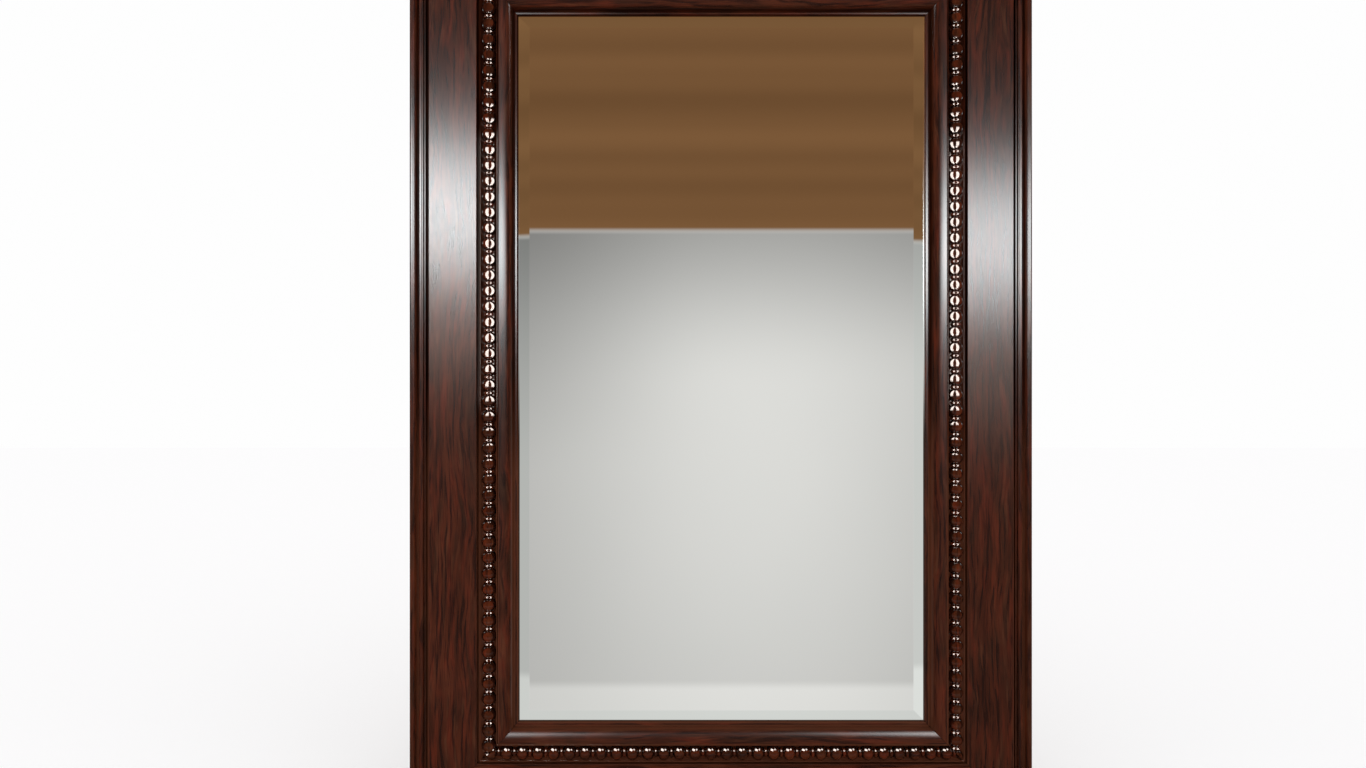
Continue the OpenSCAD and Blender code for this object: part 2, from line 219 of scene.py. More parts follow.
# Strips of light close to the bead courses, each with its azimuth in degrees and its width, outer one first
bead_strips = {"left": ((-22, 0.047), (69, 0.048)), "right": ((15, 0.042), (-80, 0.060))}
bead_strip_distance = 0.05
bead_strip_h = 0.354
bead_strip_z = 0.121

# Strips of light for the reels, with their azimuths in degrees, outwards from the mirror's middle
reel_strips = (("outer", 40), ("inner", -56))
reel_strip_distance = 0.3
reel_strip_size = (0.19, 1.9)

# Reflections of the floor in the wood, the beads and the fittings
wood_floor_glow = 0.03
bead_floor_glow = 0.25
fittings_floor_glow = 0.6
wood_groups = (
    "left_edge", "right_edge", "left_board", "right_board",
    "left_inner", "right_inner", "rail_wood", "rail_inner",
)
bead_groups = ("left_beads", "right_beads", "left_reels", "right_reels", "rail_beads")

# Studio wall that the glass shows, and the shares of its radiance
wall_distance = 2.2
wall_size = (16.0, 9.0)
wall_focus = (0.0, 0.0, 0.3)
wall_radiance = 1.09
plain_share = 0.44
pool_share = 0.27
flank_share = 0.11
low_band_share = 0.14
corner_shade = 0.2
dusk_shade = 0.5

# Where the pool, flank, low band, corner and dusk lie on the studio wall, and where it turns warm
pool_middle_x = 0.37
pool_wide = 0.8
pool_tall = 1.5
pool_reach = 1.6
flank_x = (1.07, 1.32)
low_band_z = (-1.12, -1.08)
corner_x = (-0.6, 0.2)
corner_z = (-0.35, 0.2)
dusk_z = (0.0, 0.75)
warm_z = (0.58, 0.61)
folds_per_metre = 6

# Studio floor, a hair's breadth under the frame, and the light that stands for its reflection
floor_half = 8.0
floor_gap = 0.001
floor_glow_size = (3.0, 1.2)
floor_glow_gap = 0.003

# Tints of the lights
white = (1.0, 1.0, 1.0)
cool = (0.92, 0.98, 1.0)
cream = (1.0, 0.88, 0.81)
warm = (1.0, 0.78, 0.68)


class Value:
    """A shader socket that Python's operators build Math nodes on."""

    def __init__(self, nodes, socket):
        self.nodes = nodes
        self.socket = socket

    def __add__(self, other):
        return self.nodes.math("ADD", self, other)

    def __sub__(self, other):
        return self.nodes.math("SUBTRACT", self, other)

    def __rsub__(self, other):
        return self.nodes.math("SUBTRACT", other, self)

    def __mul__(self, other):
        return self.nodes.math("MULTIPLY", self, other)

    def __truediv__(self, other):
        return self.nodes.math("DIVIDE", self, other)

    def __rtruediv__(self, other):
        return self.nodes.math("DIVIDE", other, self)

    def __abs__(self):
        return self.nodes.math("ABSOLUTE", self)

    __radd__ = __add__
    __rmul__ = __mul__


class Nodes:
    """Builds the nodes of one tree around its shader."""

    def __init__(self, tree, shader):
        self.tree = tree
        self.shader = shader

    def connect(self, socket, value):
        """Links a value to a socket, or sets the socket to a plain number or colour."""
        if isinstance(value, Value):
            self.tree.links.new(value.socket, socket)
        elif isinstance(value, (tuple, list)) and len(socket.default_value) == 4:
            socket.default_value = (*value, 1.0)
        else:
            socket.default_value = value

    def feed(self, name, value):
        """Sets or links a socket of the shader."""
        self.connect(self.shader.inputs[name], value)

    def node(self, kind, out=0, sockets=None, **settings):
        """Any node: its settings first, then the values or links of its sockets."""
        made = self.tree.nodes.new(kind)
        for name, value in settings.items():
            setattr(made, name, value)
        for name, value in (sockets or {}).items():
            self.connect(made.inputs[name], value)
        return Value(self, made.outputs[out])

    def math(self, operation, *values):
        return self.node("ShaderNodeMath", sockets=dict(enumerate(values)), operation=operation)

    def fade(self, value, low, high):
        """0 at low, 1 at high, and smooth between them."""
        return self.node(
            "ShaderNodeMapRange",
            sockets={"Value": value, "From Min": low, "From Max": high},
            interpolation_type="SMOOTHSTEP",
        )

    def mix(self, factor, first, second):
        """From the first colour at factor 0 to the second at factor 1."""
        return self.node("ShaderNodeMix", 2, {0: factor, 6: first, 7: second}, data_type="RGBA")

    def split(self, vector):
        """The three parts of a vector."""
        return [self.node("ShaderNodeSeparateXYZ", axis, {0: vector}) for axis in "XYZ"]

    def noise(self, x, y, z, detail=2.0, roughness=0.5):
        """Noise about 0.5, one cell for each unit of x, y and z."""
        point = self.node("ShaderNodeCombineXYZ", sockets={0: x, 1: y, 2: z})
        sockets = {"Vector": point, "Scale": 1.0, "Detail": detail, "Roughness": roughness}
        return self.node("ShaderNodeTexNoise", 0, sockets)


class Finish(Nodes):
    """One material: a Principled shader, and the nodes that feed it."""

    def __init__(self, name, **constants):
        self.material = bpy.data.materials.new(name)
        self.material.use_nodes = True
        tree = self.material.node_tree
        super().__init__(tree, tree.nodes["Principled BSDF"])
        for socket, value in constants.items():
            self.feed(socket.replace("_", " "), value)

    def place(self):
        """The three coordinates of a point in the frame, in millimetres."""
        point = self.node("ShaderNodeTexCoord", "Object")
        return [axis / mm for axis in self.split(point)]

    def bump(self, height, depth_mm):
        """Raises the surface by a height of 0 to 1 times a depth."""
        sockets = {"Height": height, "Distance": depth_mm * mm}
        self.feed("Normal", self.node("ShaderNodeBump", 0, sockets))


def srgb(*levels):
    """A colour from the levels that a picture editor shows, 0 to 255."""
    colour = []
    for level in levels:
        share = level / 255
        colour.append(share / 12.92 if level <= 10 else ((share + 0.055) / 1.055) ** 2.4)
    return tuple(colour)


def mahogany_figure(finish, run, across, v):
    """Colour of the stained wood along the run of its grain, with the streaks and the fibre in it."""

    def figure(line, width, length, start=0.0, **look):
        """Noise whose cells are so wide across the grain and so long along it, in millimetres."""
        return finish.noise(line / width + start, v / width, run / length, **look)

    sway_w = 26
    curl_w = 5
    sway = (figure(across, 50, 160, detail=1.0) - 0.5) * sway_w
    curl = (figure(across, 14, 50, detail=1.0) - 0.5) * curl_w
    line = across + sway + curl
    broad = figure(line, 15, 120)
    streak = figure(line, 3.8, 60, detail=3.0, roughness=0.6)
    red = figure(line, 8, 60, start=31)
    pale = figure(line, 5.5, 50, start=67)
    dull = figure(line, 9, 55, start=113)
    fibre = figure(line, 0.9, 26)

    colour = finish.mix(finish.fade(broad, 0.3, 0.7), srgb(63, 27, 13), srgb(86, 38, 19))
    # Each stain has its noise, the levels that it fades in between, its strength and its tone
    stains = (
        (red, 0.45, 0.7, 0.7, srgb(100, 37, 17)),
        (pale, 0.52, 0.74, 0.5, srgb(94, 54, 33)),
        (dull, 0.48, 0.72, 0.6, srgb(50, 30, 18)),
        (streak, 0.53, 0.36, 0.78, srgb(38, 16, 9)),
        (fibre, 0.52, 0.36, 0.34, srgb(32, 13, 7)),
    )
    for noise, low, high, strength, tone in stains:
        colour = finish.mix(finish.fade(noise, low, high) * strength, colour, tone)
    return colour, streak, fibre


def shaded_grooves(lit_lip):
    """Grooves where shade is painted, each with its near and far edge, its floor and its brim for trench."""
    # The painted shade stops a little short of some edges and creeps over others
    creep = 0.1
    any_height = (60.0, 61.0)
    board_foot = flat_low_h + 2.0
    quirk_end_u = step_u + outer_quirk_w
    quirk_brim = seat_v + outer_fillet_t + 0.3
    lip_v = seat_v + lip_t
    grooves = {
        "slope from the rim": (rim_w + 1.2, crown_start_u + creep, quirk_h + 0.4, edge_h - 1.4),
        "hollow": (crown_end_u - creep, fillet_u + creep, hollow_h + 0.2, hollow_h + 1.0),
        "groove beside the board": (groove_u - 0.4, band_w + 0.9, board_foot, board_foot + 1.0),
        "quirk beside the beads": (step_u - 0.4, quirk_end_u + 0.45, quirk_brim - 0.2, quirk_brim),
        "quirk of the sight moulding": (strip_end_u - 0.2, strip_end_u + 1.9, *any_height),
        "foot of the large round": (lip_u - 2.6, lip_u + 2.1, lip_v + 3.0, lip_v + 9.0),
    }
    if not lit_lip:
        grooves["lip"] = (sight_u - 1.7, sight_u + 1.0, *any_height)
    return grooves.values()


def trench(finish, u, v, near, far, floor, brim):
    """1 between two distances from the outer edge and below a floor, and 0 above a brim."""
    blur = 0.4
    past_near = finish.fade(u, near - blur, near + blur)
    past_far = finish.fade(u, far - blur, far + blur)
    return past_near * (1 - past_far) * (1 - finish.fade(v, floor, brim))


def groove_shade(finish, u, v, lit_lip):
    """Painted shade in the grooves and on the turn of the outer rim, and none on the back."""
    painted_shade = 0.0
    for near, far, floor, brim in shaded_grooves(lit_lip):
        painted_shade = finish.math("MAXIMUM", painted_shade, trench(finish, u, v, near, far, floor, brim))
    rim_foot = edge_h - edge_round
    rim_line = (1 - finish.fade(u, *rim_line_u)) * finish.fade(v, rim_foot - 0.4, rim_foot + 0.2)
    return finish.math("MAXIMUM", painted_shade * finish.fade(v, *shade_v), rim_line)


def bead_shade(finish, u, from_first_bead):
    """Painted shade: a dark ring round each bead's foot, and the channel beside it. Reach is 1 on a bead's
    outline.
    """
    half_pitch = bead_pitch / 2
    from_bead = finish.math("WRAP", from_first_bead, half_pitch, -half_pitch) / bead_half_long
    from_line = (u - bead_u) / bead_half_wide
    reach = finish.math("SQRT", from_bead * from_bead + from_line * from_line)
    past_bead = finish.fade(reach, *bead_edge)
    ring = finish.fade(reach, *bead_ring_edge) * (1 - past_bead)
    channel = finish.fade(abs(u - bead_u), *channel_edge) * past_bead
    return ring, channel


def unlacquered(finish, x, v, z):
    """1 on the back faces, and 1 in the pockets that are cut for the hangers."""
    back = 1 - finish.fade(v, *back_v)
    beside = finish.fade(abs(abs(x) - pocket_x), pocket_half_w, pocket_half_w + 0.4)
    above = finish.fade(abs(z - pocket_z), pocket_half_h, pocket_half_h + 0.5)
    before = finish.fade(v, pocket_d, pocket_d + 0.8)
    return back, (1 - beside) * (1 - above) * (1 - before)


def lacquered_wood(name, along, shift, coat=board_coat, first_bead=None, deep=0.0, lit_lip=False):
    """Dark mahogany stain under lacquer, its grain along X or Z. The shift gives each piece its own figure.

    Painted shade lies in the grooves, black higher up and paler brown lower down, and round the beads where
    a bead's place along the side is given; the lacquer is taken off under it.
    Coat is the lacquer's roughness, and deep the share of a darker colour. A lit lip has no painted shade.
    """
    darker_tone = srgb(24, 8, 4)
    shade_black = srgb(16, 6, 4)
    pale_shade_brown = srgb(92, 54, 38)
    mitre_dark = srgb(22, 9, 5)
    finish = Finish(name, Specular_IOR_Level=0.0, Coat_Roughness=coat, Coat_IOR=1.5)
    x, y, z = finish.place()
    v = 0 - y
    from_side = frame_w / 2 - abs(x)
    from_end = frame_h / 2 - abs(z)
    u = finish.math("MINIMUM", from_side, from_end)
    along_side, across = (z, x) if along == "Z" else (x, z)
    colour, streak, fibre = mahogany_figure(finish, along_side + shift, across + shift * cross_shift, v)
    # The right board is coloured darker than the left, by the share deep
    colour = finish.mix(deep, colour, darker_tone)

    # Painted shade in the grooves, on the rim's turn and on the unlit lip, which also takes the lacquer off
    # there
    painted_shade = groove_shade(finish, u, v, lit_lip)
    if first_bead is not None:
        # Painted shade round each bead's foot and on the channel floor beside it
        ring, channel = bead_shade(finish, u, along_side - first_bead)
        painted_shade = finish.math("MAXIMUM", painted_shade, channel * channel_shade_share)
        colour = finish.mix(ring * bead_ring_shade_share, colour, shade_black)
    # The painted shade is black higher up and paler brown lower down
    shade_tone = finish.mix(finish.fade(z, *shade_z), pale_shade_brown, shade_black)
    colour = finish.mix(painted_shade * painted_shade_share, colour, shade_tone)
    mitre = 1 - finish.fade(abs(from_side - from_end), *mitre_line)
    colour = finish.mix(mitre * mitre_share, colour, mitre_dark)

    back, pocket = unlacquered(finish, x, v, z)
    raw = finish.mix(finish.fade(streak, 0.35, 0.65), srgb(150, 98, 60), srgb(176, 122, 80))
    colour = finish.mix(finish.math("MAXIMUM", back * raw_back_share, pocket), colour, raw)
    bare = finish.math("MAXIMUM", back, pocket)
    lacquer = outer_face_lacquer + finish.fade(u, *outer_face_u) * (1 - outer_face_lacquer)

    finish.feed("Base Color", colour)
    finish.feed("Roughness", 0.42 + fibre * 0.16)
    finish.feed("Coat Weight", (1 - bare) * (1 - painted_shade * shade_dulling) * lacquer)
    finish.bump(fibre * 0.6 + streak * 0.4, 0.002)
    return finish.material


def silvered_glass():
    """Silvered glass: clear in the field, a little greener and brighter where the bevel is ground.

    A dark line along the lip, in the lower half, is a painted reflection of the lip in the glass.
    """
    field_tints = ((0.90, 0.905, 0.895), (0.93, 0.93, 0.92))
    bevel_tint = (0.93, 0.96, 0.945)
    lip_image_tint = (0.07, 0.045, 0.035)
    haze_mm = 140
    finish = Finish("silvered_glass", Metallic=1.0, Roughness=0.0)
    x, y, z = finish.place()
    from_edge = finish.math("MINIMUM", frame_w / 2 - abs(x), frame_h / 2 - abs(z)) - (sight_u - glass_lap)
    # A painted highlight along the arris where the bevel meets the field
    arris_highlight = 1 - finish.fade(abs(from_edge - bevel_w), 0.1, 0.6)
    bevel = 1 - finish.fade(from_edge, bevel_w - 0.2, bevel_w + 0.2)
    haze = finish.noise(x / haze_mm, y / haze_mm, z / haze_mm)
    colour = finish.mix(bevel, finish.mix(haze, *field_tints), bevel_tint)
    colour = finish.mix(arris_highlight * 0.5, colour, white)
    # Painted reflection of the lip: a dark band beside it, fading out up the glass
    image_end = glass_lap + lip_image_w
    lip_image = 1 - finish.fade(from_edge, image_end - 0.2, image_end + 0.2)
    lip_image = lip_image * (1 - finish.fade(z, *lip_image_z))
    finish.feed("Base Color", finish.mix(lip_image, colour, lip_image_tint))
    return finish.material


def fibreboard():
    """Brown hardboard: pressed fibres, a few darker flecks and a faint sheen."""
    finish = Finish("fibreboard", Specular_IOR_Level=0.3)
    x, y, z = finish.place()
    cloud = finish.noise(x / 60, y / 60, z / 60, detail=3.0)
    fibre = finish.noise(x / 1.6, y / 1.6, z / 1.1, detail=4.0, roughness=0.7)
    fleck = finish.fade(finish.noise(x / 2.4 + 40, y / 2.4, z / 2.4, detail=1.0), 0.68, 0.74)
    colour = finish.mix(cloud, srgb(122, 86, 54), srgb(142, 103, 67))
    colour = finish.mix(finish.fade(fibre, 0.35, 0.7) * 0.5, colour, srgb(96, 64, 39))
    finish.feed("Base Color", finish.mix(fleck * 0.7, colour, srgb(62, 40, 25)))
    finish.feed("Roughness", 0.55 + fibre * 0.25)
    finish.bump(fibre, 0.12)
    return finish.material


def bare_pine():
    """Unfinished softwood, paler and darker in patches."""
    finish = Finish("bare_pine", Specular_IOR_Level=0.3)
    x, y, z = finish.place()
    patch = finish.noise(x / 3, y / 3, z / 3)
    finish.feed("Base Color", finish.mix(patch, srgb(196, 158, 108), srgb(160, 118, 74)))
    finish.feed("Roughness", 0.6 + patch * 0.2)
    finish.bump(patch, 0.1)
    return finish.material


def brown_card():
    """Plain card with a fine felt of fibres."""
    finish = Finish("brown_card", Specular_IOR_Level=0.2)
    x, y, z = finish.place()
    felt = finish.noise(x / 0.8, y / 0.8, z / 0.8, detail=3.0)
    finish.feed("Base Color", finish.mix(felt, srgb(170, 134, 92), srgb(150, 114, 76)))
    finish.feed("Roughness", 0.8 + felt * 0.15)
    return finish.material


def plated(name, light, dark, rough, blotch_mm):
    """Plated steel: cloudy patches in the plating, and fine scratches."""
    finish = Finish(name, Metallic=1.0)
    x, y, z = finish.place()
    cloud = finish.noise(x / blotch_mm, y / blotch_mm, z / blotch_mm, detail=3.0)
    scratch = finish.noise(x / 0.25, y / 0.25, z / 6)
    finish.feed("Base Color", finish.mix(finish.fade(cloud, 0.3, 0.7), light, dark))
    finish.feed("Roughness", rough + cloud * 0.12 + scratch * 0.08)
    finish.bump(scratch, 0.01)
    return finish.material


def arc(middle_u, middle_v, radius, start, end, step=4.0):
    """Points along an arc, both ends included. Angles are in degrees."""
    count = max(2, math.ceil(abs(end - start) / step))
    points = []
    for i in range(count + 1):
        angle = math.radians(start + (end - start) * i / count)
        points.append((middle_u + radius * math.cos(angle), middle_v + radius * math.sin(angle)))
    return points


def crown(middle_u, middle_v, half):
    """Points over a round whose top is flattened, from its outer side to its inner side."""
    count = 30
    points = []
    for i in range(count + 1):
        angle = math.radians(180 - 180 * i / count)
        across = math.copysign(abs(math.cos(angle)) ** crown_flatness, math.cos(angle))
        up = abs(math.sin(angle)) ** crown_flatness
        points.append((middle_u + half * across, middle_v + half * up))
    return points


def band_section():
    """A rounded rim, a slope, a round, a hollow, a fillet and a groove."""
    return [
        (0.0, 0.0),
        *arc(edge_round, edge_h - edge_round, edge_round, 180, 90, 10),
        *arc(rim_w - rim_round, edge_h - rim_round, rim_round, 90, rim_turn, 10),
        (round_u - round_r, quirk_h), (crown_start_u, quirk_h),
        *crown(crown_u, round_h - crown_half, crown_half),
        (crown_end_u, hollow_h), (fillet_u, hollow_h), (fillet_u, fillet_h), (groove_u, fillet_h),
        (groove_u, groove_h), (band_w, groove_h), (band_w, 0.0),
    ]


def strip_section():
    """A channel with slanted sides between two fillets."""
    r = strip_fillet_r
    outer = step_u + outer_quirk_w + r
    inner = strip_end_u - r
    section = [
        (step_u, 0.0), (step_u, outer_quirk_t), (outer - r, outer_quirk_t),
        *arc(outer, outer_fillet_t - r, r, 180, 0, 20),
        (outer + r + channel_slant, strip_t), (inner - r - channel_slant, strip_t),
        (inner - r, inner_fillet_t - r - inner_side_h),
        *arc(inner, inner_fillet_t - r, r, 180, 0, 20),
        (strip_end_u, 0.0),
    ]
    return [(u, v + seat_v) for u, v in section]


def sight_section():
    """A quirk, a crest, the large round and the lip over the glass."""
    wall = strip_end_u + quirk_w
    middle_u = wall + quarter_back
    crest_u = wall + crest_r
    crest_v = quarter_rise + math.sqrt((quarter_r - crest_r) ** 2 - (quarter_back - crest_r) ** 2)
    turn = math.degrees(math.atan2(crest_v - quarter_rise, crest_u - middle_u))
    round_end = math.degrees(math.asin((lip_t - quarter_rise) / quarter_r))
    section = [
        (strip_end_u, 0.0), (strip_end_u, inner_fillet_t - quirk_d), (wall, inner_fillet_t - quirk_d),
        *arc(crest_u, crest_v, crest_r, 180, turn, 15),
        *arc(middle_u, quarter_rise, quarter_r, turn, round_end, 3),
        *arc(sight_u - nose_r, lip_t - nose_r, nose_r, 90, 0, 18),
        (sight_u, 0.0),
    ]
    return [(u, v + seat_v) for u, v in section]


def on_side(side, u, v, s):
    """A point of a side, in metres: u inwards from the outer edge, v forwards, s along the side."""
    across = {"left": u - frame_w / 2, "right": frame_w / 2 - u}
    upright = {"top": frame_h / 2 - u, "bottom": u - frame_h / 2}
    if side in across:
        return Vector((across[side], -v, s)) * mm
    return Vector((s, -v, upright[side])) * mm


def side_length(side):
    """The outer length of a side."""
    return frame_h if side in upright_sides else frame_w


def join_loops(made, loops):
    """Joins loops of a bmesh's corners one to the next, and closes both ends."""
    count = len(loops[0])
    for low, high in zip(loops, loops[1:]):
        for i in range(count):
            j = (i + 1) % count
            made.faces.new((low[i], low[j], high[j], high[i]))
    made.faces.new(loops[0])
    made.faces.new(loops[-1])


def mitred_run(made, side, section):
    """Adds a section run along one side and mitred at both ends to a bmesh."""
    half = side_length(side) / 2
    ends = []
    for end in (-1, 1):
        ends.append([made.verts.new(on_side(side, u, v, end * (half - u))) for u, v in section])
    join_loops(made, ends)


def bead_rows():
    """Rows (s, half width, half height) of one bead, from neck to neck."""
    half_count = 10
    blunt = math.degrees(math.acos(neck_r / bead_half_tall))
    rows = []
    for i in range(-half_count, half_count + 1):
        angle = math.radians(blunt * i / half_count)
        out = math.cos(angle)
        rows.append((bead_half_long * math.sin(angle), bead_half_wide * out, bead_half_tall * out))
    return rows


def reel_rows():
    """Rows (s, half width, half height) of one reel: a small ring round the neck."""
    count = 8
    rows = []
    for i in range(count + 1):
        angle = math.radians(180 * i / count)
        half = neck_r + (reel_r - neck_r) * math.sin(angle)
        rows.append((-reel_half_long * math.cos(angle), half, half))
    return rows


def moved_rows(rows, place):
    """The same rows, further along the side."""
    return [(place + s, wide, tall) for s, wide, tall in rows]


def turned(made, side, rows):
    """Adds a turned form on the bead course's axis to a bmesh, with few faces where the channel hides it."""
    front_step = 7.5
    front_reach = 105
    front_count = round(2 * front_reach / front_step)
    hidden_angles = [130, 180, 230]
    angles = [front_step * i - front_reach for i in range(front_count + 1)] + hidden_angles
    loops = []
    for s, wide, tall in rows:
        loop = []
        for angle in angles:
            turn = math.radians(angle)
            u = bead_u + wide * math.sin(turn)
            v = bead_v + tall * math.cos(turn)
            loop.append(made.verts.new(on_side(side, u, v, s)))
        loops.append(loop)
    join_loops(made, loops)


def places_along(first, reach):
    """Middles of forms that repeat at the bead pitch, one of them at first and none past the reach."""
    count = math.ceil(reach / bead_pitch) + 1
    places = [first + i * bead_pitch for i in range(-count, count + 1)]
    return [place for place in places if abs(place) <= reach]


def cut_mitres(made, side):
    """Cuts what a bmesh holds along the two mitres of a side, and closes the cuts."""
    for end in (-1, 1):
        corner = on_side(side, 0.0, 0.0, end * side_length(side) / 2)
        outwards = (on_side(side, 1.0, 0.0, end) - on_side(side, 0.0, 0.0, 0.0)).normalized()
        geometry = made.verts[:] + made.edges[:] + made.faces[:]
        cut = bmesh.ops.bisect_plane(
            made, geom=geometry, plane_co=corner, plane_no=outwards, clear_outer=True
        )
        rim = [item for item in cut["geom_cut"] if isinstance(item, bmesh.types.BMEdge)]
        if rim:
            bmesh.ops.holes_fill(made, edges=rim)


def bead_string(made, side, first_bead):
    """Adds the beads of one side to a bmesh, joined by their necks."""
    reach = side_length(side) / 2 - step_u
    rows = []
    for place in places_along(first_bead, reach):
        rows += moved_rows(bead_rows(), place)
    turned(made, side, rows)
    cut_mitres(made, side)


def reel_string(made, side, first_bead):
    """Adds the reels of one side to a bmesh, one in the middle of each neck."""
    reach = side_length(side) / 2 - bead_u + reel_r
    for place in places_along(first_bead + bead_pitch / 2, reach):
        turned(made, side, moved_rows(reel_rows(), place))
    cut_mitres(made, side)


def side_piece(name, side, finish, *parts):
    """A piece of one side. A part is a function that adds a form to a bmesh, and what it is given."""
    sharp_edge = math.radians(32)
    made = bmesh.new()
    for part, given in parts:
        part(made, side, given)
    bmesh.ops.recalc_face_normals(made, faces=made.faces[:])
    mesh = bpy.data.meshes.new(name)
    made.to_mesh(mesh)
    made.free()
    piece = bpy.data.objects.new(name, mesh)
    bpy.context.scene.collection.objects.link(piece)
    mesh.materials.append(finish)
    mesh.shade_smooth()
    mesh.set_sharp_from_angle(angle=sharp_edge)
    return piece


def dress(node, finish):
    """Gives a CAD node its finish."""
    for slot in frame["nodes"][node].material_slots:
        slot.material = finish


def dress_board(side, along, shift):
    """Finish of a side's wide board."""
    board = f"{side}_stile" if side in upright_sides else f"{side}_rail"
    deep = right_board_darkening if side == "right" else 0.0
    dress(board, lacquered_wood(f"{side}_board_wood", along, shift, deep=deep))


def dress_mouldings():
    """Fine mouldings in place of the plain ones, by name, each with its own figure in the wood."""
    pieces = {}
    for i, side in enumerate(sides):
        along = "Z" if side in upright_sides else "X"
        shift = figure_shift * i
        first_bead = first_beads[side]
        dress_board(side, along, shift)
        edge_wood = lacquered_wood(f"{side}_edge_wood", along, shift + edge_shift)
        bead_wood = lacquered_wood(
            f"{side}_bead_wood", along, shift + bead_shift, coat=bead_coat, first_bead=first_bead
        )
        reel_wood = lacquered_wood(f"{side}_reel_wood", along, shift + reel_shift, coat=reel_coat)
        inner_wood = lacquered_wood(
            f"{side}_inner_wood", along, shift + inner_shift, lit_lip=side == "right"
        )
        made = {
            "edge_moulding": ("edge_band", edge_wood, (mitred_run, band_section())),
            "bead_course": (
                "bead_strip", bead_wood, (mitred_run, strip_section()), (bead_string, first_bead)
            ),
            "reels": ("bead_strip", reel_wood, (reel_string, first_bead)),
            "inner_moulding": ("sight_moulding", inner_wood, (mitred_run, sight_section())),
        }
        for kind, (node, finish, *parts) in made.items():
            name = f"{side}_{kind}"
            piece = side_piece(name, side, finish, *parts)
            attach(piece, "frame")
            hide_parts(f"{side}_{node}")
            pieces[name] = piece
    return pieces


def dress_glass_and_back():
    """Finishes of the glass, of what holds it, and of the fittings on the back."""
    dress("mirror_glass", silvered_glass())
    dress("backing_sheet", brown_card())
    dress("back_panel", fibreboard())
    pine = bare_pine()
    zinc = plated(
        "zinc_plate", light=(0.62, 0.63, 0.62), dark=(0.52, 0.52, 0.49), rough=0.26, blotch_mm=9.0
    )
    nickel = plated(
        "nickel_plate", light=(0.68, 0.66, 0.62), dark=(0.60, 0.58, 0.54), rough=0.12, blotch_mm=6.0
    )
    for side in sides:
        dress(f"{side}_glass_stop", pine)
    for node in frame["nodes"]:
        if "screws" in node or "plate" in node or "strap" in node:
            dress(node, zinc)
        if node.endswith("_ring"):
            dress(node, nickel)


def light_groups(mouldings):
    """Sets of pieces that share their lights."""
    nodes = frame["nodes"]
    fitting_kinds = ("screws", "plate", "strap", "ring")
    members = {
        "left_edge": [mouldings["left_edge_moulding"]],
        "right_edge": [mouldings["right_edge_moulding"]],
        "left_board": [nodes["left_stile"]],
        "right_board": [nodes["right_stile"]],
        "left_inner": [mouldings["left_inner_moulding"]],
        "right_inner": [mouldings["right_inner_moulding"]],
        "rail_wood": [
            nodes["top_rail"], nodes["bottom_rail"],
            mouldings["top_edge_moulding"], mouldings["bottom_edge_moulding"],
        ],
        "rail_inner": [mouldings["top_inner_moulding"], mouldings["bottom_inner_moulding"]],
        "left_beads": [mouldings["left_bead_course"]],
        "right_beads": [mouldings["right_bead_course"]],
        "left_reels": [mouldings["left_reels"]],
        "right_reels": [mouldings["right_reels"]],
        "rail_beads": [
            mouldings["top_bead_course"], mouldings["top_reels"],
            mouldings["bottom_bead_course"], mouldings["bottom_reels"],
        ],
        "glass": [nodes["mirror_glass"]],
        "fittings": [nodes[node] for node in nodes if any(kind in node for kind in fitting_kinds)],
    }
    groups = {}
    for name, pieces in members.items():
        groups[name] = bpy.data.collections.new(name)
        for piece in pieces:
            groups[name].objects.link(piece)
    return groups


def softbox(
    name, receivers, focus, azimuth, rise, distance, size, radiance, tint=white, soft=plain_soft
):
    """A rectangular light that only the receivers show, as a reflection in their gloss.

    It faces a focus from an azimuth in degrees off the front, and rises by a part of its distance.
    Soft gives the shares of its width and of its height that fade out at each edge.
    """
    light = bpy.data.lights.new(name, "AREA")
    light.shape = "RECTANGLE"
    light.size, light.size_y = size
    light.energy = radiance * math.pi * size[0] * size[1]
    light.color = tint
    light.use_nodes = True
    glow = Nodes(light.node_tree, light.node_tree.nodes["Emission"])
    level = 1.0
    for place, edge in zip(glow.split(glow.node("ShaderNodeNewGeometry", "Parametric")), soft):
        level = glow.fade(place, 0.0, edge) * glow.fade(1 - place, 0.0, edge) * level
    glow.feed("Strength", level)
    box = bpy.data.objects.new(name, light)
    heading = math.radians(azimuth)
    offset = Vector((math.sin(heading), -math.cos(heading), rise)) * distance
    box.location = Vector(focus) + offset
    box.rotation_euler = (-offset).to_track_quat("-Z", "Y").to_euler()
    box.visible_camera = False
    box.visible_diffuse = False
    bpy.context.scene.collection.objects.link(box)
    box.light_linking.receiver_collection = receivers
    box.light_linking.blocker_collection = receivers
    return box


def side_softbox(
    where, receivers, azimuth, half_angle, radiance, row,
    soft=plain_soft, height=side_light_h, tint=cool,
):
    """A softbox for an upright side, which reaches a half angle in degrees to each side of its middle.

    Its reflection is brightest at a row of the photograph.
    """
    sign = -1 if receivers.name.startswith("left") else 1
    focus = (sign * side_focus_x * mm, -side_focus_v * mm, (middle_y - row) / px_per_mm * mm)
    across = (sign * side_focus_x * px_per_mm + middle_x - ahead_x) / (px_per_mm * camera_distance)
    rise = (ahead_y - row) / (px_per_mm * camera_distance) / math.hypot(1.0, across)
    width = 2 * side_light_distance * math.tan(math.radians(half_angle))
    softbox(
        f"{receivers.name}_{where}", receivers, focus, azimuth, rise,
        side_light_distance, (width, height), radiance, tint, soft,
    )


def floor_glow(receivers, radiance):
    """The floor's reflection in the gloss."""
    box = softbox(
        f"{receivers.name}_floor", receivers, focus=(0.0, 0.0, 0.0), azimuth=0, rise=0.0,
        distance=1.0, size=floor_glow_size, radiance=radiance,
    )
    box.location = (0.0, -floor_glow_size[1] / 2, -frame_h / 2 * mm - floor_glow_gap)
    box.rotation_euler = (math.pi, 0.0, 0.0)


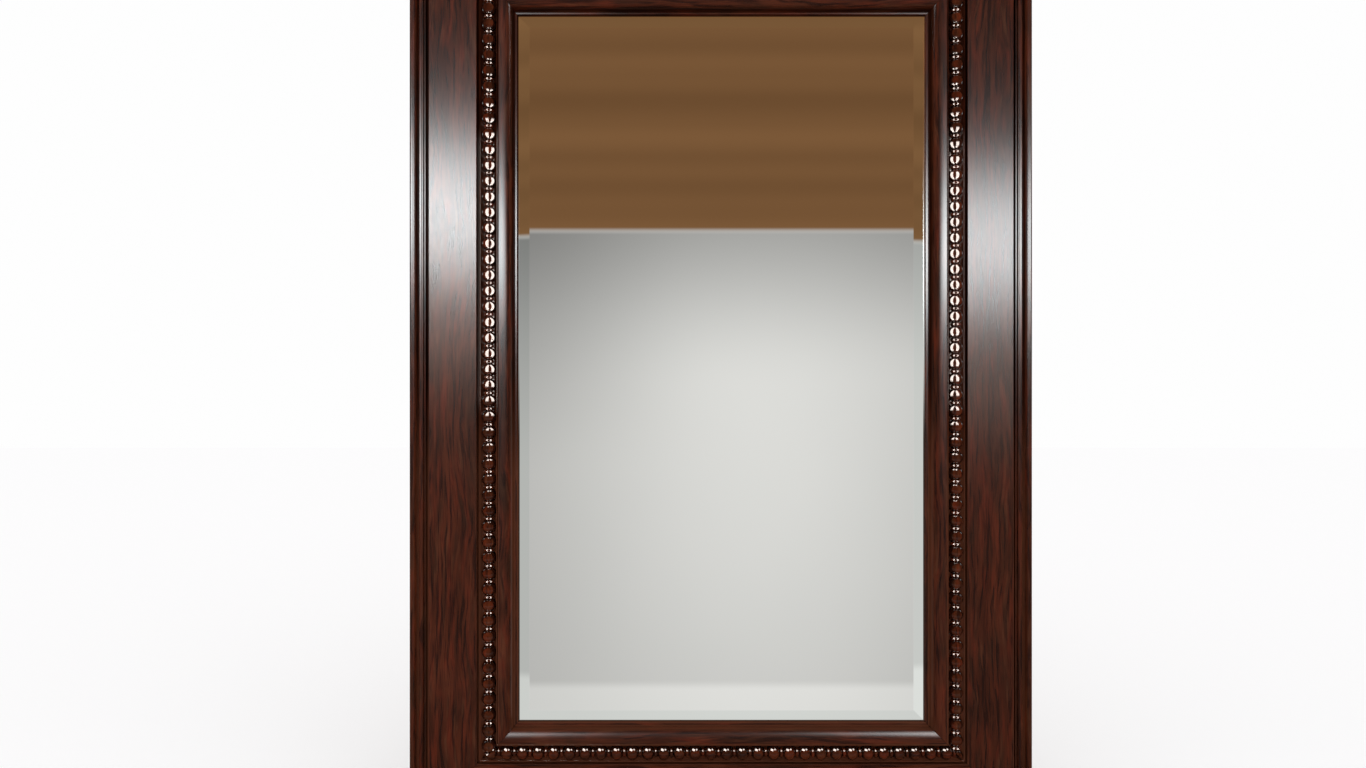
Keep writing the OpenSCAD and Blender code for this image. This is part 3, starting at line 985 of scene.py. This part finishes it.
def light_left_side(groups):
    """Reflections on the left board and its mouldings."""
    edge = groups["left_edge"]
    board = groups["left_board"]
    side_softbox("front", edge, azimuth=-38, half_angle=36, radiance=27.0, row=left_edge_row)
    side_softbox("far", edge, azimuth=46, half_angle=42, radiance=24.0, row=left_edge_row)
    side_softbox("front", board, azimuth=-46, half_angle=38, radiance=24.0, row=left_board_row)
    side_softbox("side", board, azimuth=-105, half_angle=30, radiance=10.0, row=left_board_side_row)
    side_softbox(
        "low", board, azimuth=-46, half_angle=38, radiance=2.4, row=left_board_low_row, tint=warm
    )
    side_softbox(
        "front", groups["left_inner"], azimuth=3, half_angle=57, radiance=25.0, row=left_inner_row,
        soft=inner_soft, height=inner_light_h,
    )


def light_right_side(groups):
    """Reflections on the right board and its mouldings."""
    edge = groups["right_edge"]
    board = groups["right_board"]
    inner = groups["right_inner"]
    side_softbox("back", inner, azimuth=-150, half_angle=24, radiance=16.0, row=right_inner_back_row)
    side_softbox("front", edge, azimuth=35, half_angle=28, radiance=23.0, row=right_edge_row)
    side_softbox("far", edge, azimuth=-38, half_angle=40, radiance=25.0, row=right_edge_row)
    side_softbox("front", board, azimuth=30, half_angle=36, radiance=18.5, row=right_board_row)
    side_softbox(
        "low", board, azimuth=30, half_angle=36, radiance=1.7, row=right_board_low_row, tint=warm
    )
    side_softbox("side", board, azimuth=105, half_angle=30, radiance=10.0, row=right_board_side_row)
    side_softbox(
        "front", inner, azimuth=15, half_angle=55, radiance=28.0, row=right_inner_row,
        soft=inner_soft, height=inner_light_h,
    )


def light_bead_course(groups, side):
    """Glints on an upright side's beads from two strips close by, and on its reels from two farther off."""
    sign = -1 if side == "left" else 1
    beads = groups[f"{side}_beads"]
    reels = groups[f"{side}_reels"]
    axis_x = sign * (frame_w / 2 - bead_u) * mm
    axis_y = -bead_v * mm
    for where, (azimuth, width) in zip(("outer", "inner"), bead_strips[side]):
        softbox(
            f"{beads.name}_{where}", beads, focus=(axis_x, axis_y, bead_strip_z), azimuth=azimuth,
            rise=0.0, distance=bead_strip_distance, size=(width, bead_strip_h), radiance=26.0,
            tint=cream, soft=bead_soft,
        )
    for where, azimuth in reel_strips:
        softbox(
            f"{reels.name}_{where}", reels, focus=(axis_x, axis_y, 0.0), azimuth=sign * azimuth,
            rise=0.0, distance=reel_strip_distance, size=reel_strip_size, radiance=24.0,
            tint=cream, soft=reel_soft,
        )


def light_rail_mouldings(groups):
    """Reflections along the inner mouldings of the top and the bottom."""
    for where, x, azimuth in (("left", -0.2, -40), ("right", 0.2, 52)):
        softbox(
            f"rail_inner_{where}", groups["rail_inner"], focus=(x, -0.04, -0.43), azimuth=azimuth,
            rise=0.95, distance=1.0, size=(1.4, 1.7), radiance=14.0, tint=cool, soft=rail_inner_soft,
        )


def light_rail_beads(groups):
    """Glints on the beads of the top and the bottom."""
    beads = groups["rail_beads"]
    bottom_course = (0.0, -0.03, -0.45)
    softbox(
        "rail_beads_left", beads, focus=bottom_course, azimuth=-42, rise=1.25,
        distance=1.0, size=(1.8, 1.0), radiance=30.0, tint=cream, soft=rail_bead_soft,
    )
    softbox(
        "rail_beads_right", beads, focus=bottom_course, azimuth=50, rise=1.3,
        distance=1.0, size=(0.9, 0.8), radiance=22.0, tint=cream, soft=rail_bead_soft,
    )


def light_fittings(groups):
    """A broad soft light behind the mirror, which the plates, screws and rings show."""
    softbox(
        "fittings_back", groups["fittings"], focus=(0.0, 0.0, 0.0), azimuth=180, rise=0.1,
        distance=1.5, size=(9.0, 6.0), radiance=0.8, soft=fittings_soft,
    )


def studio_wall(receivers):
    """The plain studio that the glass shows: softly lit and pale below, warm above."""
    wall = softbox(
        "studio_wall", receivers, focus=wall_focus, azimuth=0, rise=0.0,
        distance=wall_distance, size=wall_size, radiance=wall_radiance,
    )
    glow = Nodes(wall.data.node_tree, wall.data.node_tree.nodes["Emission"])
    across, _, up = glow.split(glow.node("ShaderNodeNewGeometry", "Position"))
    wide = (across - pool_middle_x) / pool_wide
    tall = up / pool_tall
    pool = 1 - glow.fade(glow.math("SQRT", wide * wide + tall * tall), 0.0, pool_reach)
    dusk = 1 - glow.fade(up, *dusk_z) * dusk_shade
    flank = glow.fade(across, *flank_x)
    low_band = 1 - glow.fade(up, *low_band_z)
    corner = (1 - glow.fade(across, *corner_x)) * glow.fade(up, *corner_z)
    pale = (plain_share + pool * pool_share) * dusk * (1 - corner * corner_shade)
    pale = pale + flank * flank_share + low_band * low_band_share
    folds = glow.noise(up * folds_per_metre, 0.0, 0.0, detail=1.0)
    warm_folds = glow.mix(folds, srgb(84, 56, 30), srgb(136, 98, 62))
    upper_wall = glow.fade(up, *warm_z)
    glow.feed("Color", glow.mix(upper_wall, srgb(255, 255, 252), warm_folds))
    glow.feed("Strength", pale * (1 - upper_wall) + upper_wall)


def make_floor():
    """A plain pale floor under the frame."""
    half = floor_half
    low = -frame_h / 2 * mm - floor_gap
    corners = [(-half, -half, low), (half, -half, low), (half, half, low), (-half, half, low)]
    mesh = bpy.data.meshes.new("studio_floor")
    mesh.from_pydata(corners, [], [(0, 1, 2, 3)])
    floor = bpy.data.objects.new("studio_floor", mesh)
    bpy.context.scene.collection.objects.link(floor)
    finish = Finish("pale_floor", Base_Color=(0.99, 0.985, 0.99), Roughness=0.7, Specular_IOR_Level=0.0)
    mesh.materials.append(finish.material)
    floor.visible_glossy = False


def make_world():
    """A white studio that glossy surfaces see as a dim one."""
    world = bpy.data.worlds.new("studio")
    world.use_nodes = True
    sky = Nodes(world.node_tree, world.node_tree.nodes["Background"])
    white_studio = (0.99, 0.99, 0.99)
    dim_studio = (0.008, 0.006, 0.005)
    in_gloss = sky.node("ShaderNodeLightPath", "Is Glossy Ray")
    sky.feed("Color", sky.mix(in_gloss, white_studio, dim_studio))
    bpy.context.scene.world = world


def make_camera():
    """The photograph's view: straight at the mirror, a little left of its middle."""
    camera = bpy.data.cameras.new("camera")
    camera.sensor_width = sensor_w
    camera.lens = px_per_mm * camera_distance / photo_w * sensor_w
    camera.shift_x = (photo_w / 2 - ahead_x) / photo_w
    camera.shift_y = (ahead_y - photo_h / 2) / photo_w
    holder = bpy.data.objects.new("camera", camera)
    x = (ahead_x - middle_x) / px_per_mm
    z = (middle_y - ahead_y) / px_per_mm
    holder.location = Vector((x, -scale_plane_v - camera_distance, z)) * mm
    holder.rotation_euler = (math.pi / 2, 0.0, 0.0)
    bpy.context.scene.collection.objects.link(holder)
    bpy.context.scene.camera = holder


groups = light_groups(dress_mouldings())
dress_glass_and_back()

light_left_side(groups)
light_right_side(groups)
for side in upright_sides:
    light_bead_course(groups, side)
for name in wood_groups:
    floor_glow(groups[name], wood_floor_glow)
light_rail_mouldings(groups)
for name in bead_groups:
    floor_glow(groups[name], bead_floor_glow)
light_rail_beads(groups)
studio_wall(groups["glass"])
light_fittings(groups)
floor_glow(groups["fittings"], fittings_floor_glow)

make_floor()
make_world()
make_camera()
bpy.context.scene.view_settings.view_transform = "Standard"
